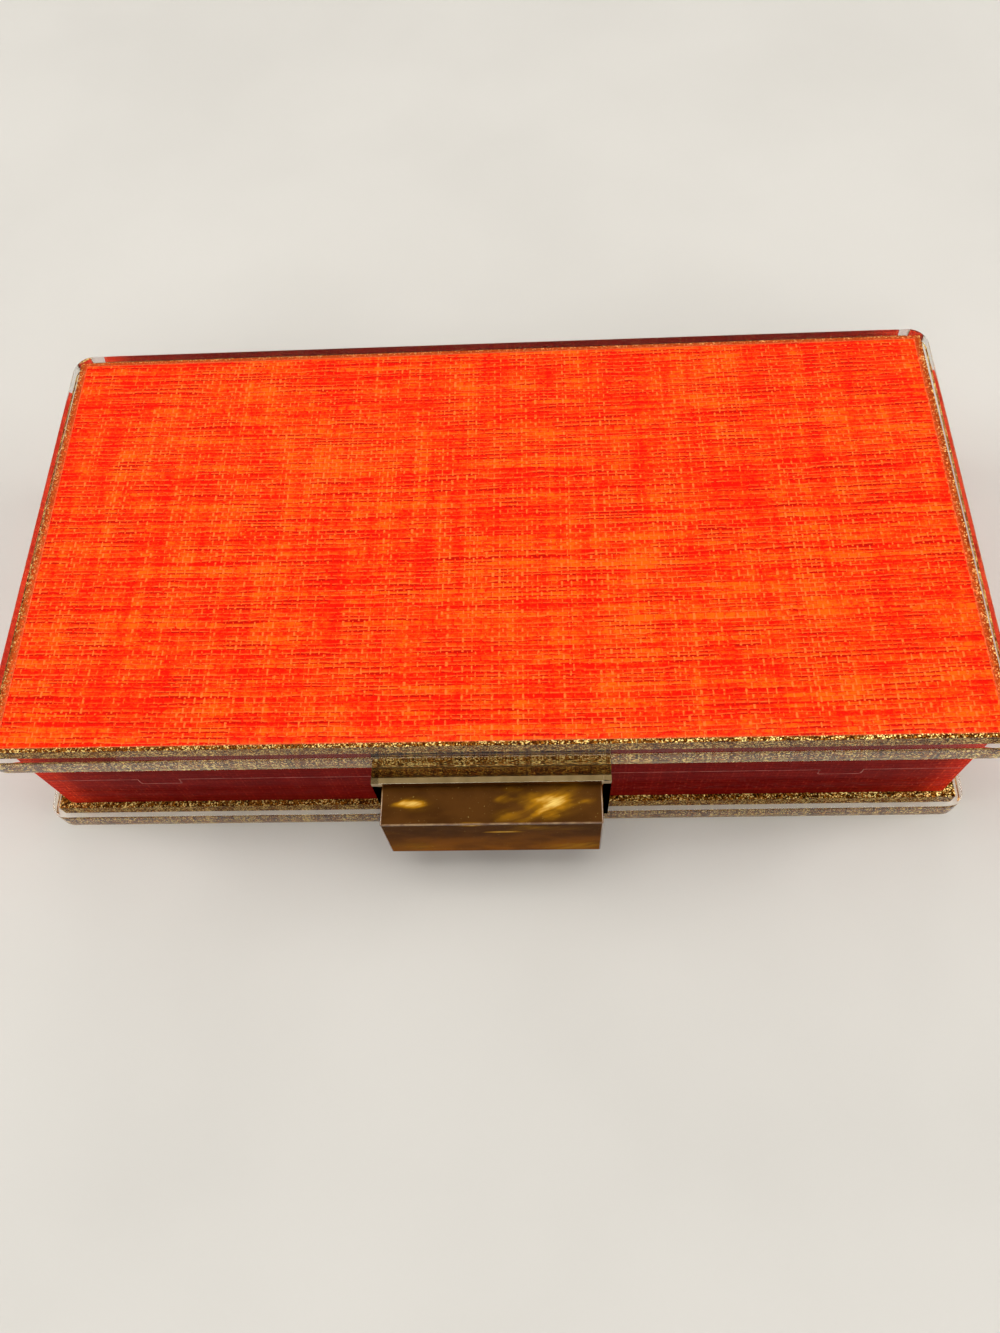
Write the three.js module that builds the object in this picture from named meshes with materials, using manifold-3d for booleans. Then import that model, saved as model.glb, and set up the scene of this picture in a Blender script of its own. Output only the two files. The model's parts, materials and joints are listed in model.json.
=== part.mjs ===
// A hard box clutch that lies on its back. Two flat plates, each a glitter core with a woven linen panel let into
// its outer face and a clear rim around it, close over walls that stand back from the plates' outline. The walls
// part at half height: the rear edge has a long hinge, and the front has a metal frame with a lifting bar in it.
// Millimetres, +Z up. The clasp is on the -Y side and +X is to the right of someone who faces it. The origin is in
// the middle of the underside of the box.
import * as THREE from "three";
import { mergeVertices } from "three/addons/utils/BufferGeometryUtils.js";
import Module from "manifold-3d";

// Box
const boxWidth = 220;
const boxDepth = 115;
const plateThickness = 5.6;
const plateCornerRadius = 4.8;
const plateArris = 0.5;
const baseWallHeight = 15.1;
const lidWallHeight = 15.1;
const wallInset = 4;
const wallThickness = 3;
const wallCornerRadius = 1.6;

// Layers of a plate
const clearRimWidth = 2.5;
const linenInset = 3.8;
const linenThickness = 0.8;
const linenCornerRadius = 0.6;

// Clearances
const seamGap = 0.3;
const fitGap = 0.3;
const swingGap = 0.5;

// Tabs that line the lid up on the base
const tabWidth = 9.6;
const tabDepth = 2.6;
const tabDistance = 78;

// Hinge on the rear walls
const hingeLength = 176;
const hingeKnuckles = 11;
const hingeBarrelRadius = 1.5;
const hingePinRadius = 0.6;
const hingeLeafThickness = 0.8;
const hingeLeafHeight = 7.5;

// Clasp frame on the lid's front wall
const frameWidth = 51.2;
const frameReach = 7.4;
const frameDrop = 0.4;
const frameLedgeThickness = 1.6;
const frameCheekThickness = 1.6;
const frameCheekHeight = 21.5;
const frameCheekFront = 9.5;
const frameCheekFoot = 1.2;

// Clasp bar, the pin that it turns on, and the catch behind it
const barDrop = 3.1;
const barHeight = 19;
const barDepth = 12.3;
const barReach = 15.8;
const barArris = 0.6;
const barPinRadius = 0.8;
const barPinBelowTop = 2.6;
const barPinBehindFrame = 1.9;
const barPinSeat = 0.9;
const catchWidth = 16;
const catchThickness = 1;
const catchHeight = 12;
const catchAboveBarFoot = 0.5;
const keeperWidth = 14;
const keeperHeight = 5.5;
const keeperBelowSeam = 3;

// Fineness of the round shapes
const cornerSteps = 6;
const barrelSides = 16;
const pinSides = 12;
const weldDistance = 1e-4;

// Levels and planes worked out from the sizes above
const partingLevel = plateThickness + baseWallHeight;
const lidWallFoot = partingLevel + seamGap;
const lidPlateLevel = lidWallFoot + lidWallHeight;
const hingeLevel = partingLevel + seamGap / 2;
const wallFront = -boxDepth / 2 + wallInset;
const wallRear = boxDepth / 2 - wallInset;
const hingeAxisY = wallRear + fitGap + hingeBarrelRadius;
const frameTop = lidPlateLevel - frameDrop;
const frameFront = wallFront - frameReach;
const barTop = lidPlateLevel - barDrop;
const barFront = wallFront - barReach;
const barBack = barFront + barDepth;
const barFoot = barTop - barHeight;
const barWidth = frameWidth - 2 * (frameCheekThickness + fitGap);
const barPinY = frameFront + barPinBehindFrame;
const barPinLevel = barTop - barPinBelowTop;

const colours = {
  clearAcrylic: 0xd8cfc6,
  glitter: 0x9a7048,
  linen: 0xf04a1c,
  wallLinen: 0xb02414,
  paleGold: 0xcdbf98,
  brass: 0xb08d57,
  amberResin: 0x6a4420,
};

const wasm = await Module();
wasm.setup();

// The closed geometry as a solid that can be joined and cut.
function solidOf(geometry) {
  const bare = geometry.clone();
  bare.deleteAttribute("normal");
  bare.deleteAttribute("uv");
  const merged = mergeVertices(bare, weldDistance);
  const mesh = new wasm.Mesh({
    numProp: 3,
    vertProperties: merged.attributes.position.array,
    triVerts: new Uint32Array(merged.index.array),
  });
  return new wasm.Manifold(mesh);
}

// The solid as a geometry with normals of its own.
function geometryOf(solid) {
  const mesh = solid.getMesh();
  const geometry = new THREE.BufferGeometry();
  geometry.setAttribute("position", new THREE.BufferAttribute(mesh.vertProperties, mesh.numProp));
  geometry.setIndex(new THREE.BufferAttribute(mesh.triVerts, 1));
  geometry.computeVertexNormals();
  return geometry;
}

// A rectangle with round corners, centred on the origin.
function roundedRectangle(width, depth, radius) {
  const x = width / 2 - radius;
  const y = depth / 2 - radius;
  const shape = new THREE.Shape();
  shape.absarc(x, y, radius, 0, Math.PI / 2);
  shape.absarc(-x, y, radius, Math.PI / 2, Math.PI);
  shape.absarc(-x, -y, radius, Math.PI, 1.5 * Math.PI);
  shape.absarc(x, -y, radius, 1.5 * Math.PI, 2 * Math.PI);
  shape.closePath();
  return shape;
}

// The box's plan drawn in by inset on every side.
function planOutline(inset, radius) {
  return roundedRectangle(boxWidth - 2 * inset, boxDepth - 2 * inset, radius);
}

// A straight prism of the shape between two levels.
function prism(shape, low, high) {
  const settings = { depth: high - low, bevelEnabled: false, curveSegments: cornerSteps };
  return new THREE.ExtrudeGeometry(shape, settings).translate(0, 0, low);
}

// A prism whose upper and lower arrises are cut at 45 degrees. The shape is the outline at its widest.
function chamferedPrism(shape, low, high, arris) {
  const settings = {
    depth: high - low - 2 * arris,
    bevelEnabled: true,
    bevelThickness: arris,
    bevelSize: arris,
    bevelOffset: -arris,
    bevelSegments: 1,
    curveSegments: cornerSteps,
  };
  return new THREE.ExtrudeGeometry(shape, settings).translate(0, 0, low + arris);
}

// A box from its lowest to its highest corner.
function block(low, high) {
  const size = high.map((value, axis) => value - low[axis]);
  const middle = high.map((value, axis) => (value + low[axis]) / 2);
  return new THREE.BoxGeometry(...size).translate(...middle);
}

// A cylinder along X between two places.
function rod(radius, fromX, toX, y, z, sides) {
  return new THREE.CylinderGeometry(radius, radius, toX - fromX, sides)
    .rotateZ(Math.PI / 2)
    .translate((fromX + toX) / 2, y, z);
}

// A profile of [y, z] corners, drawn out along X between two places.
function alongX(profile, fromX, toX) {
  const shape = new THREE.Shape(profile.map(([y, z]) => new THREE.Vector2(y, z)));
  const turn = new THREE.Matrix4().makeBasis(
    new THREE.Vector3(0, 1, 0),
    new THREE.Vector3(0, 0, 1),
    new THREE.Vector3(1, 0, 0),
  );
  return new THREE.ExtrudeGeometry(shape, { depth: toX - fromX, bevelEnabled: false })
    .applyMatrix4(turn)
    .translate(fromX, 0, 0);
}

// A named mesh with a material of its own.
function piece(name, geometry, colour, roughness, metalness, opacity = 1) {
  const material = new THREE.MeshStandardMaterial({
    color: colour,
    roughness,
    metalness,
    opacity,
    transparent: opacity < 1,
  });
  const mesh = new THREE.Mesh(geometry, material);
  mesh.name = name;
  return mesh;
}

// The clear rim around a plate's core.
function clearRim(name, low) {
  const whole = chamferedPrism(planOutline(0, plateCornerRadius), low, low + plateThickness, plateArris);
  const cutRadius = Math.max(plateCornerRadius - clearRimWidth, linenCornerRadius);
  const middle = prism(planOutline(clearRimWidth, cutRadius), low - 1, low + plateThickness + 1);
  const rim = solidOf(whole).subtract(solidOf(middle));
  return piece(name, geometryOf(rim), colours.clearAcrylic, 0.05, 0, 0.35);
}

// The glitter core of a plate, with a pocket for the linen in its outer face.
function glitterCore(name, low, outerIsUp) {
  const inset = clearRimWidth + fitGap;
  const radius = Math.max(plateCornerRadius - inset, linenCornerRadius);
  const high = low + plateThickness;
  const core = solidOf(prism(planOutline(inset, radius), low, high));
  const pocket = planOutline(linenInset - fitGap, linenCornerRadius);
  const pocketLow = outerIsUp ? high - linenThickness : low - 1;
  const pocketHigh = outerIsUp ? high + 1 : low + linenThickness;
  const cut = core.subtract(solidOf(prism(pocket, pocketLow, pocketHigh)));
  return piece(name, geometryOf(cut), colours.glitter, 0.25, 0.3);
}

// The woven linen panel, flush with the plate's outer face.
function linenPanel(name, low) {
  const outline = planOutline(linenInset, linenCornerRadius);
  return piece(name, prism(outline, low, low + linenThickness), colours.linen, 0.35, 0);
}

// A wall that runs right round, with an open middle.
function wallRing(low, high) {
  const ring = planOutline(wallInset, wallCornerRadius);
  ring.holes.push(planOutline(wallInset + wallThickness, wallCornerRadius));
  return solidOf(prism(ring, low, high));
}

// The block of wall that a tab fills, grown by a clearance on its sides and foot.
function tabBlock(centre, grow) {
  const half = tabWidth / 2 + grow;
  return solidOf(
    block(
      [centre - half, wallFront, lidWallFoot - tabDepth - grow],
      [centre + half, wallFront + wallThickness, lidWallFoot + tabDepth],
    ),
  );
}

// The walls of the two halves. The lid's tabs hang into notches in the base's front wall.
function walls() {
  let lidWall = wallRing(lidWallFoot, lidPlateLevel);
  let baseWall = wallRing(plateThickness, partingLevel);
  for (const centre of [-tabDistance, tabDistance]) {
    lidWall = lidWall.add(tabBlock(centre, 0));
    baseWall = baseWall.subtract(tabBlock(centre, fitGap));
  }
  return {
    lid: piece("lid_wall", geometryOf(lidWall), colours.wallLinen, 0.35, 0),
    base: piece("base_wall", geometryOf(baseWall), colours.wallLinen, 0.35, 0),
  };
}

// One leaf of the hinge with its share of the knuckles. side is 1 for the lid's leaf and -1 for the base's.
function hingeLeaf(name, side, firstKnuckle) {
  const pitch = hingeLength / hingeKnuckles;
  const inner = wallRear + fitGap;
  const clear = hingeBarrelRadius + fitGap;
  const levels = [hingeLevel + side * clear, hingeLevel + side * (clear + hingeLeafHeight)];
  let leaf = solidOf(
    block(
      [-hingeLength / 2, inner, Math.min(...levels)],
      [hingeLength / 2, inner + hingeLeafThickness, Math.max(...levels)],
    ),
  );
  const bore = solidOf(
    rod(hingePinRadius + fitGap, -hingeLength, hingeLength, hingeAxisY, hingeLevel, barrelSides),
  );
  for (let knuckle = firstKnuckle; knuckle < hingeKnuckles; knuckle += 2) {
    const fromX = -hingeLength / 2 + knuckle * pitch + fitGap / 2;
    const toX = fromX + pitch - fitGap;
    const webLevels = [hingeLevel, levels[0] + side * fitGap];
    const web = block(
      [fromX, inner, Math.min(...webLevels)],
      [toX, inner + hingeLeafThickness, Math.max(...webLevels)],
    );
    leaf = leaf
      .add(solidOf(rod(hingeBarrelRadius, fromX, toX, hingeAxisY, hingeLevel, barrelSides)))
      .add(solidOf(web));
  }
  return piece(name, geometryOf(leaf.subtract(bore)), colours.brass, 0.35, 1);
}

// The hinge's pin, as long as the leaves.
function hingePin() {
  const half = hingeLength / 2;
  const geometry = rod(hingePinRadius, -half, half, hingeAxisY, hingeLevel, pinSides);
  return piece("hinge_pin", geometry, colours.brass, 0.3, 1);
}

// The metal frame: a ledge under the plate and a cheek at each end, whose front edge slopes back at its foot.
function claspFrame() {
  const back = wallFront - fitGap;
  const half = frameWidth / 2;
  const cheekProfile = [
    [back, frameTop],
    [frameFront, frameTop],
    [frameFront, frameTop - frameCheekFront],
    [back - frameCheekFoot, frameTop - frameCheekHeight],
    [back, frameTop - frameCheekHeight],
  ];
  const ledge = block([-half, frameFront, frameTop - frameLedgeThickness], [half, back, frameTop]);
  let frame = solidOf(ledge);
  for (const end of [-1, 1]) {
    const faces = [end * half, end * (half - frameCheekThickness)];
    frame = frame.add(solidOf(alongX(cheekProfile, Math.min(...faces), Math.max(...faces))));
  }
  const seatHalf = barWidth / 2 + fitGap + barPinSeat + fitGap;
  const seat = rod(barPinRadius + fitGap, -seatHalf, seatHalf, barPinY, barPinLevel, pinSides);
  return piece("clasp_frame", geometryOf(frame.subtract(solidOf(seat))), colours.paleGold, 0.12, 1);
}

// The resin bar that is lifted to open the clasp, bored for its pin.
function claspBar() {
  const outline = new THREE.Shape([
    new THREE.Vector2(-barWidth / 2, barFront),
    new THREE.Vector2(barWidth / 2, barFront),
    new THREE.Vector2(barWidth / 2, barBack),
    new THREE.Vector2(-barWidth / 2, barBack),
  ]);
  const body = solidOf(chamferedPrism(outline, barFoot, barTop, barArris));
  const bore = solidOf(rod(barPinRadius + fitGap, -barWidth, barWidth, barPinY, barPinLevel, pinSides));
  return piece("clasp_bar", geometryOf(body.subtract(bore)), colours.amberResin, 0.2, 0);
}

// The pin between the frame's cheeks.
function claspPin() {
  const half = barWidth / 2 + fitGap + barPinSeat;
  const geometry = rod(barPinRadius, -half, half, barPinY, barPinLevel, pinSides);
  return piece("clasp_pin", geometry, colours.paleGold, 0.3, 1);
}

// The catch plate on the back of the bar.
function claspCatch() {
  const near = barBack + fitGap;
  const foot = barFoot + catchAboveBarFoot;
  const geometry = block(
    [-catchWidth / 2, near, foot],
    [catchWidth / 2, near + catchThickness, foot + catchHeight],
  );
  return piece("clasp_catch", geometry, colours.paleGold, 0.3, 1);
}

// The keeper on the base's front wall, which the catch plate closes over.
function claspKeeper() {
  const top = partingLevel - keeperBelowSeam;
  const face = barBack + fitGap + catchThickness + swingGap;
  const geometry = block(
    [-keeperWidth / 2, face, top - keeperHeight],
    [keeperWidth / 2, wallFront - fitGap, top],
  );
  return piece("clasp_keeper", geometry, colours.paleGold, 0.3, 1);
}

const { lid: lidWallPiece, base: baseWallPiece } = walls();

const base = new THREE.Group();
base.add(
  clearRim("base_rim", 0),
  glitterCore("base_core", 0, false),
  linenPanel("base_linen", 0),
  baseWallPiece,
  hingeLeaf("hinge_base_leaf", -1, 0),
  hingePin(),
  claspKeeper(),
);

const lid = new THREE.Group();
lid.add(
  clearRim("lid_rim", lidPlateLevel),
  glitterCore("lid_core", lidPlateLevel, true),
  linenPanel("lid_linen", lidPlateLevel + plateThickness - linenThickness),
  lidWallPiece,
  hingeLeaf("hinge_lid_leaf", 1, 1),
  claspFrame(),
  claspPin(),
);

const lever = new THREE.Group();
lever.add(claspBar(), claspCatch());

const boxClutch = new THREE.Group();
boxClutch.add(base, lid, lever);

export default boxClutch;
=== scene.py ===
"""A hard box clutch on its back: linen panels in clear-rimmed glitter plates, linen walls, a resin clasp.

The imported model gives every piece's place. Each sub-assembly is a class that models its pieces in metres
with Blender's own operators, and each finish is a small class that makes one procedural material.
"""

from __future__ import annotations

import json
import logging
import math
from dataclasses import dataclass
from enum import Enum
from typing import Callable, Iterable, Optional, Sequence, Union

import bpy
from mathutils import Matrix, Vector


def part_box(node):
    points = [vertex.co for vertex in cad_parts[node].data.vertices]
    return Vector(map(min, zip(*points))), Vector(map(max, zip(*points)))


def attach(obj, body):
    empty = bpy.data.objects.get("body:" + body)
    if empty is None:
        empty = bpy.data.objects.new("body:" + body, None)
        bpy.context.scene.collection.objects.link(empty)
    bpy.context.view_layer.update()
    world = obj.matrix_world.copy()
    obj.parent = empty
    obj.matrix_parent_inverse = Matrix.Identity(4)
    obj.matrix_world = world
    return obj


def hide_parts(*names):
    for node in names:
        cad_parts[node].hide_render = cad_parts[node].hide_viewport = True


LOG = logging.getLogger("box_clutch")
MM = 0.001
Colour = tuple[float, float, float]
Socket = bpy.types.NodeSocket
Value = Union[float, Socket]
# A Span says where a smooth step starts and ends, and a Ramp also between which values it runs.
Span = tuple[float, float]
Ramp = tuple[float, float, float, float]
# Two places nearer than this count as one.
TOUCH = 0.01 * MM
# A screen's tone curve: a straight foot up to the knee, then a power.
FOOT_SLOPE = 12.92
KNEE = 0.04045
OFFSET = 0.055
POWER = 2.4


def linear(red: int, green: int, blue: int) -> Colour:
    """Turn a screen colour of 0 to 255 a channel into the linear colour that shaders use.

    Args:
        red: Red channel.
        green: Green channel.
        blue: Blue channel.

    Returns:
        The linear colour.
    """

    def channel(level: int) -> float:
        """Turn one channel into its linear share."""
        share = level / 255
        return share / FOOT_SLOPE if share <= KNEE else ((share + OFFSET) / (1 + OFFSET)) ** POWER

    return channel(red), channel(green), channel(blue)


@dataclass(frozen=True)
class Grain:
    """A stretched noise: its fineness per millimetre both ways, its layer and its finer detail."""

    across: float
    along: float
    layer: float
    detail: float = 3.0
    rough: float = 0.5


class Recipe:
    """A material's node tree while it is put together."""

    def __init__(self, name: str) -> None:
        """Start an empty material.

        Args:
            name: The material's name.
        """
        self.material = bpy.data.materials.new(name)
        self.material.use_nodes = True
        self.tree = self.material.node_tree
        self.tree.nodes.clear()

    def node(self, kind: str, **settings: object) -> bpy.types.Node:
        """Add a node and set its properties.

        Args:
            kind: The node's type name.
            settings: Properties of the node by name.

        Returns:
            The new node.
        """
        made = self.tree.nodes.new(kind)
        for name, value in settings.items():
            setattr(made, name, value)
        return made

    def feed(self, socket: Socket, value: Union[Value, Colour, Vector]) -> None:
        """Link a socket to another, or give it a plain value.

        Args:
            socket: The input to fill.
            value: An output to link, a number or a colour.
        """
        if isinstance(value, bpy.types.NodeSocket):
            self.tree.links.new(value, socket)
        elif socket.type == "RGBA":
            socket.default_value = (*value, 1.0)
        else:
            socket.default_value = value

    def maths(self, operation: str, first: Value, second: Value = 0.0, third: Value = 0.0) -> Socket:
        """Add a maths node.

        Args:
            operation: The operation's name in capitals.
            first: First value.
            second: Second value.
            third: Third value.

        Returns:
            The result.
        """
        made = self.node("ShaderNodeMath", operation=operation)
        for socket, value in zip(made.inputs, (first, second, third)):
            self.feed(socket, value)
        return made.outputs[0]

    def times(self, first: Value, second: Value) -> Socket:
        """Multiply two values."""
        return self.maths("MULTIPLY", first, second)

    def plus(self, first: Value, second: Value) -> Socket:
        """Add two values."""
        return self.maths("ADD", first, second)

    def minus(self, first: Value, second: Value) -> Socket:
        """Take the second value off the first."""
        return self.maths("SUBTRACT", first, second)

    def centred(self, grey: Socket) -> Socket:
        """Shift a grey value so that its middle is 0."""
        return self.minus(grey, 0.5)

    def vectors(self, operation: str, first: Socket, second: Union[Colour, Socket] = (0, 0, 0)) -> Socket:
        """Add a vector maths node.

        Args:
            operation: The operation's name in capitals.
            first: First vector.
            second: Second vector.

        Returns:
            The result.
        """
        made = self.node("ShaderNodeVectorMath", operation=operation)
        for socket, value in zip(made.inputs, (first, second)):
            self.feed(socket, value)
        return made.outputs[0]

    def scaled(self, vector: Socket, factor: float) -> Socket:
        """Make a vector longer or shorter.

        Args:
            vector: The vector.
            factor: How many times as long it gets.

        Returns:
            The result.
        """
        made = self.node("ShaderNodeVectorMath", operation="SCALE")
        self.feed(made.inputs[0], vector)
        made.inputs["Scale"].default_value = factor
        return made.outputs[0]

    def span(self, value: Value, low: float, high: float, start: float = 0.0, end: float = 1.0) -> Socket:
        """Map a value smoothly from one span to another.

        Args:
            value: The value to map.
            low: Where the first span starts.
            high: Where the first span ends.
            start: The result at low.
            end: The result at high.

        Returns:
            The mapped value.
        """
        made = self.node("ShaderNodeMapRange", interpolation_type="SMOOTHSTEP")
        for socket, given in zip(made.inputs, (value, low, high, start, end)):
            self.feed(socket, given)
        return made.outputs[0]

    def blend(self, share: Value, first: Union[Colour, Socket], second: Union[Colour, Socket]) -> Socket:
        """Blend two colours.

        Args:
            share: How much of the second colour there is.
            first: The colour at 0.
            second: The colour at 1.

        Returns:
            The blended colour.
        """
        made = self.node("ShaderNodeMix", data_type="RGBA")
        self.feed(made.inputs["Factor"], share)
        colours = [socket for socket in made.inputs if socket.type == "RGBA"]
        self.feed(colours[0], first)
        self.feed(colours[1], second)
        return next(socket for socket in made.outputs if socket.type == "RGBA")

    def gain(self, share: Value, colour: Socket, factors: Colour) -> Socket:
        """Multiply a colour channel by channel.

        Args:
            share: How much of the change shows.
            colour: The colour.
            factors: What each channel is multiplied by.

        Returns:
            The changed colour.
        """
        return self.blend(share, colour, self.vectors("MULTIPLY", colour, factors))

    def point(self, across: Value, along: Value, third: Value = 0.0) -> Socket:
        """Make a point from three numbers.

        Args:
            across: First coordinate.
            along: Second coordinate.
            third: Third coordinate.

        Returns:
            The point.
        """
        made = self.node("ShaderNodeCombineXYZ")
        for socket, value in zip(made.inputs, (across, along, third)):
            self.feed(socket, value)
        return made.outputs[0]

    def noise(self, place: Socket, scale: float = 1.0, detail: float = 2.0, rough: float = 0.5) -> Socket:
        """Add a noise texture and give its grey value.

        Args:
            place: The point that it is read at.
            scale: How fine it is.
            detail: How many finer layers it has.
            rough: How strong the finer layers are.

        Returns:
            The grey value, mostly from 0.3 to 0.7.
        """
        made = self.node("ShaderNodeTexNoise")
        self.feed(made.inputs["Vector"], place)
        made.inputs["Scale"].default_value = scale
        made.inputs["Detail"].default_value = detail
        made.inputs["Roughness"].default_value = rough
        return made.outputs[0]

    def grain(self, grain: Grain, across: Socket, along: Socket) -> Socket:
        """Add a stretched noise.

        Args:
            grain: What it is like.
            across: First coordinate in millimetres.
            along: Second coordinate.

        Returns:
            The grey value, mostly from 0.3 to 0.7.
        """
        place = self.point(self.times(across, grain.across), self.times(along, grain.along), grain.layer)
        return self.noise(place, detail=grain.detail, rough=grain.rough)

    def draw(self, seed: Value) -> Socket:
        """Draw one number for each value of seed.

        Args:
            seed: The value, the same all over a thread.

        Returns:
            The number, from 0 to 1.
        """
        made = self.node("ShaderNodeTexWhiteNoise", noise_dimensions="1D")
        self.feed(made.inputs["W"], seed)
        return made.outputs["Value"]

    def place_mm(self) -> tuple[Socket, Socket, Socket]:
        """Give the three object coordinates in millimetres."""
        coordinates = self.node("ShaderNodeTexCoord")
        split = self.node("ShaderNodeSeparateXYZ")
        self.feed(split.inputs[0], self.scaled(coordinates.outputs["Object"], 1 / MM))
        return split.outputs[0], split.outputs[1], split.outputs[2]

    def bump(self, height: Socket, depth_mm: float, strength: float) -> Socket:
        """Turn a height from 0 to 1 into a bumped normal.

        Args:
            height: The height.
            depth_mm: How deep the relief is, in millimetres.
            strength: How much of the relief shows.

        Returns:
            The normal.
        """
        made = self.node("ShaderNodeBump")
        made.inputs["Strength"].default_value = strength
        made.inputs["Distance"].default_value = depth_mm * MM
        self.feed(made.inputs["Height"], height)
        return made.outputs[0]

    def principled(self, **values: object) -> Socket:
        """Add the main shader and fill its sockets.

        Args:
            values: Socket names, with underscores for spaces, and their values.

        Returns:
            The shader.
        """
        made = self.node("ShaderNodeBsdfPrincipled")
        for name, value in values.items():
            self.feed(made.inputs[name.replace("_", " ")], value)
        return made.outputs[0]

    def close(self, shader: Socket) -> bpy.types.Material:
        """Send the shader to the output.

        Args:
            shader: The shader.

        Returns:
            The finished material.
        """
        output = self.node("ShaderNodeOutputMaterial")
        self.feed(output.inputs["Surface"], shader)
        return self.material


class ClothPlane(Enum):
    """Which way a sheet of linen faces."""

    FLAT = "flat"
    UPRIGHT = "upright"


@dataclass(frozen=True)
class Yarn:
    """One of a weave's two sets of threads. Lengths are in millimetres, widths in shares of the pitch.

    slub is how long a thick place is. uneven is how far threads crowd together, and swell over what length.
    """

    pitch: float
    thin: float
    thick: float
    wander: float
    slub: float
    uneven: float
    swell: float
    seed: int


@dataclass
class Strand:
    """What one set of threads looks like at a point.

    wave changes sign from thread to thread. cover is 1 on a thread, flank 1 beside it on its near side,
    where painted shadow goes, and edge 1 along its near rim, where a painted highlight goes. crown is its
    height, and tone how light its dye is.
    """

    wave: Socket
    cover: Socket
    shadow_flank: Socket
    edge: Socket
    crown: Socket
    tone: Socket


@dataclass(frozen=True)
class LinenFinish:
    """Open plain-weave linen with slubs over a red ground, seen through a smooth clear coat.

    Lengths are in millimetres. Painted light, standing for the light that the clear ends let in, starts at
    end_from, and is full at end_full.
    """

    name: str
    plane: ClothPlane
    ground: Colour
    deep: Colour
    body: Colour
    bright: Colour
    strand: Colour
    end_light_gain: Optional[Colour] = None
    outer_half: tuple[float, float] = (0.0, 0.0)
    outer_skin: Span = (0.8, 0.2)
    end_from: float = 78.0
    end_near: float = 97.0
    end_full: float = 104.5
    end_faint: float = 0.22
    end_strong: float = 0.78
    warp: Yarn = Yarn(1.12, thin=0.07, thick=0.22, wander=0.34, slub=4.0, uneven=1.0, swell=6.0, seed=3)
    weft: Yarn = Yarn(1.17, thin=0.24, thick=0.56, wander=0.2, slub=16.0, uneven=1.8, swell=5.0, seed=11)
    dive: Span = (-0.18, 0.1)
    open_grain: Grain = Grain(across=0.16, along=0.16, layer=1.44, rough=0.6)
    open_share: Ramp = (0.34, 0.62, 0.2, 1.0)
    body_tones: Span = (0.05, 0.6)
    bright_tones: Span = (0.5, 1.0)
    strand_body_tones: Span = (0.0, 0.4)
    strand_tones: Span = (0.3, 0.75)
    near_rim_highlight: float = 0.8
    flank_shadow_strength: float = 0.45
    soft_edge: float = 0.1
    bow: float = 0.00012
    sway: float = 0.22
    sway_length: float = 60.0
    fray: float = 0.24
    fray_across: float = 3.4
    fray_scale: float = 1.3
    slub_steps: Span = (0.36, 0.6)
    slub_spread: float = 7.31
    tone_spread: float = 5.17
    tone_length: float = 0.6
    tone_gain: float = 1.2
    own_dye: float = 0.42
    own_layer: float = 0.37
    patches: tuple[tuple[Grain, float], ...] = (
        (Grain(across=0.045, along=0.5, layer=2.0), 1.6),
        (Grain(across=0.3, along=0.03, layer=6.0), 1.4),
        (Grain(across=0.04, along=0.04, layer=0.12, detail=2.0), 0.7),
        (Grain(across=0.8, along=1.2, layer=8.0, rough=0.65), 1.5),
    )
    weft_height: float = 0.8
    relief: float = 0.1
    relief_share: float = 0.6
    roughness: float = 0.62
    coat: float = 1.0
    coat_roughness: float = 0.06
    coat_ior: float = 1.49

    def material(self) -> bpy.types.Material:
        """Make the woven material."""
        recipe = Recipe(self.name)
        x, y, z = recipe.place_mm()
        upright_cloth = self.plane is ClothPlane.UPRIGHT
        across = recipe.plus(x, y) if upright_cloth else x
        along = z if upright_cloth else y
        along = recipe.maths("MULTIPLY_ADD", recipe.times(across, across), -self.bow, along)
        warp = self._strand(recipe, self.warp, across, along)
        weft = self._strand(recipe, self.weft, along, across)
        on_top = recipe.span(recipe.times(warp.wave, weft.wave), *self.dive)
        warp_shows = recipe.times(warp.cover, on_top)
        open_weave = recipe.span(recipe.grain(self.open_grain, across, along), *self.open_share)
        colour = self._dye(recipe, warp, weft, on_top, self._patch(recipe, across, along), open_weave)
        # Painted light: the walls' outer faces grow lighter towards the ends, as if lit through the clear
        # ends.
        if self.end_light_gain is not None:
            colour = recipe.gain(self._end(recipe, x, y), colour, self.end_light_gain)
        height = recipe.maths(
            "MAXIMUM",
            recipe.times(warp_shows, warp.crown),
            recipe.times(recipe.times(weft.cover, weft.crown), self.weft_height),
        )
        shader = recipe.principled(
            Base_Color=colour,
            Roughness=self.roughness,
            Specular_IOR_Level=0.0,
            Coat_Weight=self.coat,
            Coat_Roughness=self.coat_roughness,
            Coat_IOR=self.coat_ior,
            Normal=recipe.bump(height, self.relief, self.relief_share),
        )
        return recipe.close(shader)

    def _end(self, recipe: Recipe, x: Socket, y: Socket) -> Socket:
        """Work out how much painted light, for the light that the clear ends let in, brightens the outer
        faces.

        Args:
            recipe: The material being made.
            x: First coordinate in millimetres.
            y: Second coordinate.

        Returns:
            Its share, 0 away from the ends and inside the box.
        """
        reach = recipe.maths("ABSOLUTE", x)
        faint = recipe.span(reach, self.end_from, self.end_full, 0.0, self.end_faint)
        strong = recipe.span(reach, self.end_near, self.end_full, 0.0, self.end_strong)
        near = recipe.plus(faint, strong)
        inside, skin = self.outer_skin
        outer = [
            recipe.span(recipe.maths("ABSOLUTE", place), half - inside, half - skin)
            for place, half in zip((x, y), self.outer_half)
        ]
        return recipe.times(near, recipe.maths("MAXIMUM", *outer))

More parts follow.
